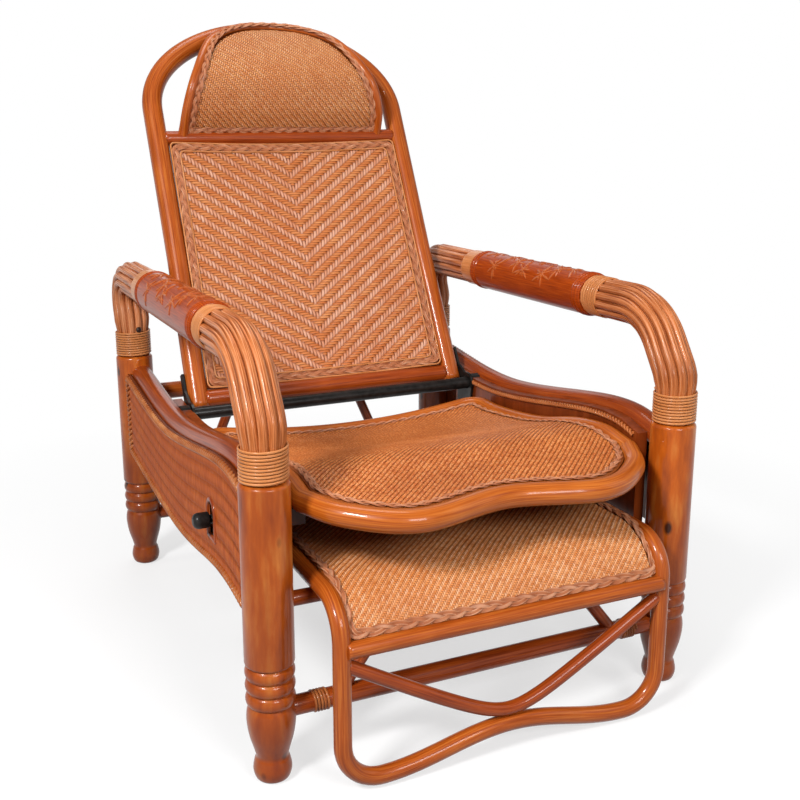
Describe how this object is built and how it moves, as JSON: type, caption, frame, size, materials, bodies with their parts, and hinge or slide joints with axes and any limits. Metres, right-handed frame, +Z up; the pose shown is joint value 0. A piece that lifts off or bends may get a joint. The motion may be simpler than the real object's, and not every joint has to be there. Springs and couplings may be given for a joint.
{
  "type": "rattan recliner",
  "caption": "Rattan recliner chair with a tilting arched back and domed headrest, wrapped cane arms, woven seat and sides, and a sliding woven footrest on a bent cane loop.",
  "frame": {"origin": "middle of the chair's bounding box, on the floor", "axes": "+Z up, the sitter faces -Y, +X to the right as seen from the front"},
  "size_m": [0.691, 0.991, 0.9754],
  "materials": {
    "turned_wood": "lacquered, glossy",
    "lacquered_cane": "lacquered, glossy",
    "dark_cane": "lacquered, glossy",
    "carved_wood": "lacquered, glossy",
    "rattan_winding": "satin",
    "rattan_weave": "satin",
    "board_wood": "satin",
    "black_steel": "satin",
    "black_rubber": "matte"
  },
  "bodies": {
    "chair": {"arm_canes_left": "lacquered_cane", "arm_canes_right": "lacquered_cane", "arm_sleeve_left": "carved_wood", "arm_sleeve_right": "carved_wood", "footrest_runner_left": "board_wood", "footrest_runner_right": "board_wood", "front_arch_brace": "lacquered_cane", "front_rod": "lacquered_cane", "front_stretcher": "lacquered_cane", "leg_front_left": "turned_wood", "leg_front_right": "turned_wood", "leg_rear_left": "turned_wood", "leg_rear_right": "turned_wood", "lever_pin_left": "black_steel", "lever_pin_right": "black_steel", "pivot_bush_left": "black_steel", "pivot_bush_right": "black_steel", "rear_arch_brace": "lacquered_cane", "rear_rail": "lacquered_cane", "rear_stretcher": "lacquered_cane", "seat_bearer_left": "board_wood", "seat_bearer_right": "board_wood", "seat_frame": "dark_cane", "seat_mat": "rattan_weave", "side_board_left": "board_wood", "side_board_right": "board_wood", "side_panel_left": "rattan_weave", "side_panel_right": "rattan_weave", "side_rail_left": "dark_cane", "side_rail_right": "dark_cane", "sleeve_band_left": "rattan_winding", "sleeve_band_right": "rattan_winding", "sleeve_winding_left": "rattan_winding", "sleeve_winding_right": "rattan_winding", "stretcher_winding_left": "rattan_winding", "stretcher_winding_right": "rattan_winding", "winding_front_left": "rattan_winding", "winding_front_right": "rattan_winding", "winding_rear_left": "rattan_winding", "winding_rear_right": "rattan_winding"},
    "backrest": {"back_bottom_rail": "lacquered_cane", "back_bracket_left": "black_steel", "back_bracket_right": "black_steel", "back_crossbar": "dark_cane", "back_frame": "lacquered_cane", "back_mat": "rattan_weave", "headrest_frame": "lacquered_cane", "headrest_mat": "rattan_weave", "pivot_tube": "black_steel"},
    "footrest": {"footrest_bar": "lacquered_cane", "footrest_brace": "lacquered_cane", "footrest_loop": "lacquered_cane", "footrest_mat": "rattan_weave", "footrest_middle_bar": "lacquered_cane", "footrest_rear_bar": "lacquered_cane"},
    "lever": {"knob_left": "black_rubber", "knob_right": "black_rubber", "lever_bar_left": "black_steel", "lever_bar_right": "black_steel", "lever_rod": "black_steel"}
  },
  "joints": [
    {"name": "back_recline", "type": "hinge", "parent": "chair", "child": "backrest", "pos_m": [0, 0.12217, 0.336], "axis": [-1, 0, 0], "range_deg": [0, 38]},
    {"name": "footrest_slide", "type": "slide", "parent": "chair", "child": "footrest", "axis": [0, -1, 0], "range_m": [0, 0.38]},
    {"name": "lever_lift", "type": "hinge", "parent": "chair", "child": "lever", "pos_m": [0, -0.02783, 0.279], "axis": [-1, 0, 0], "range_deg": [0, 5]}
  ]
}
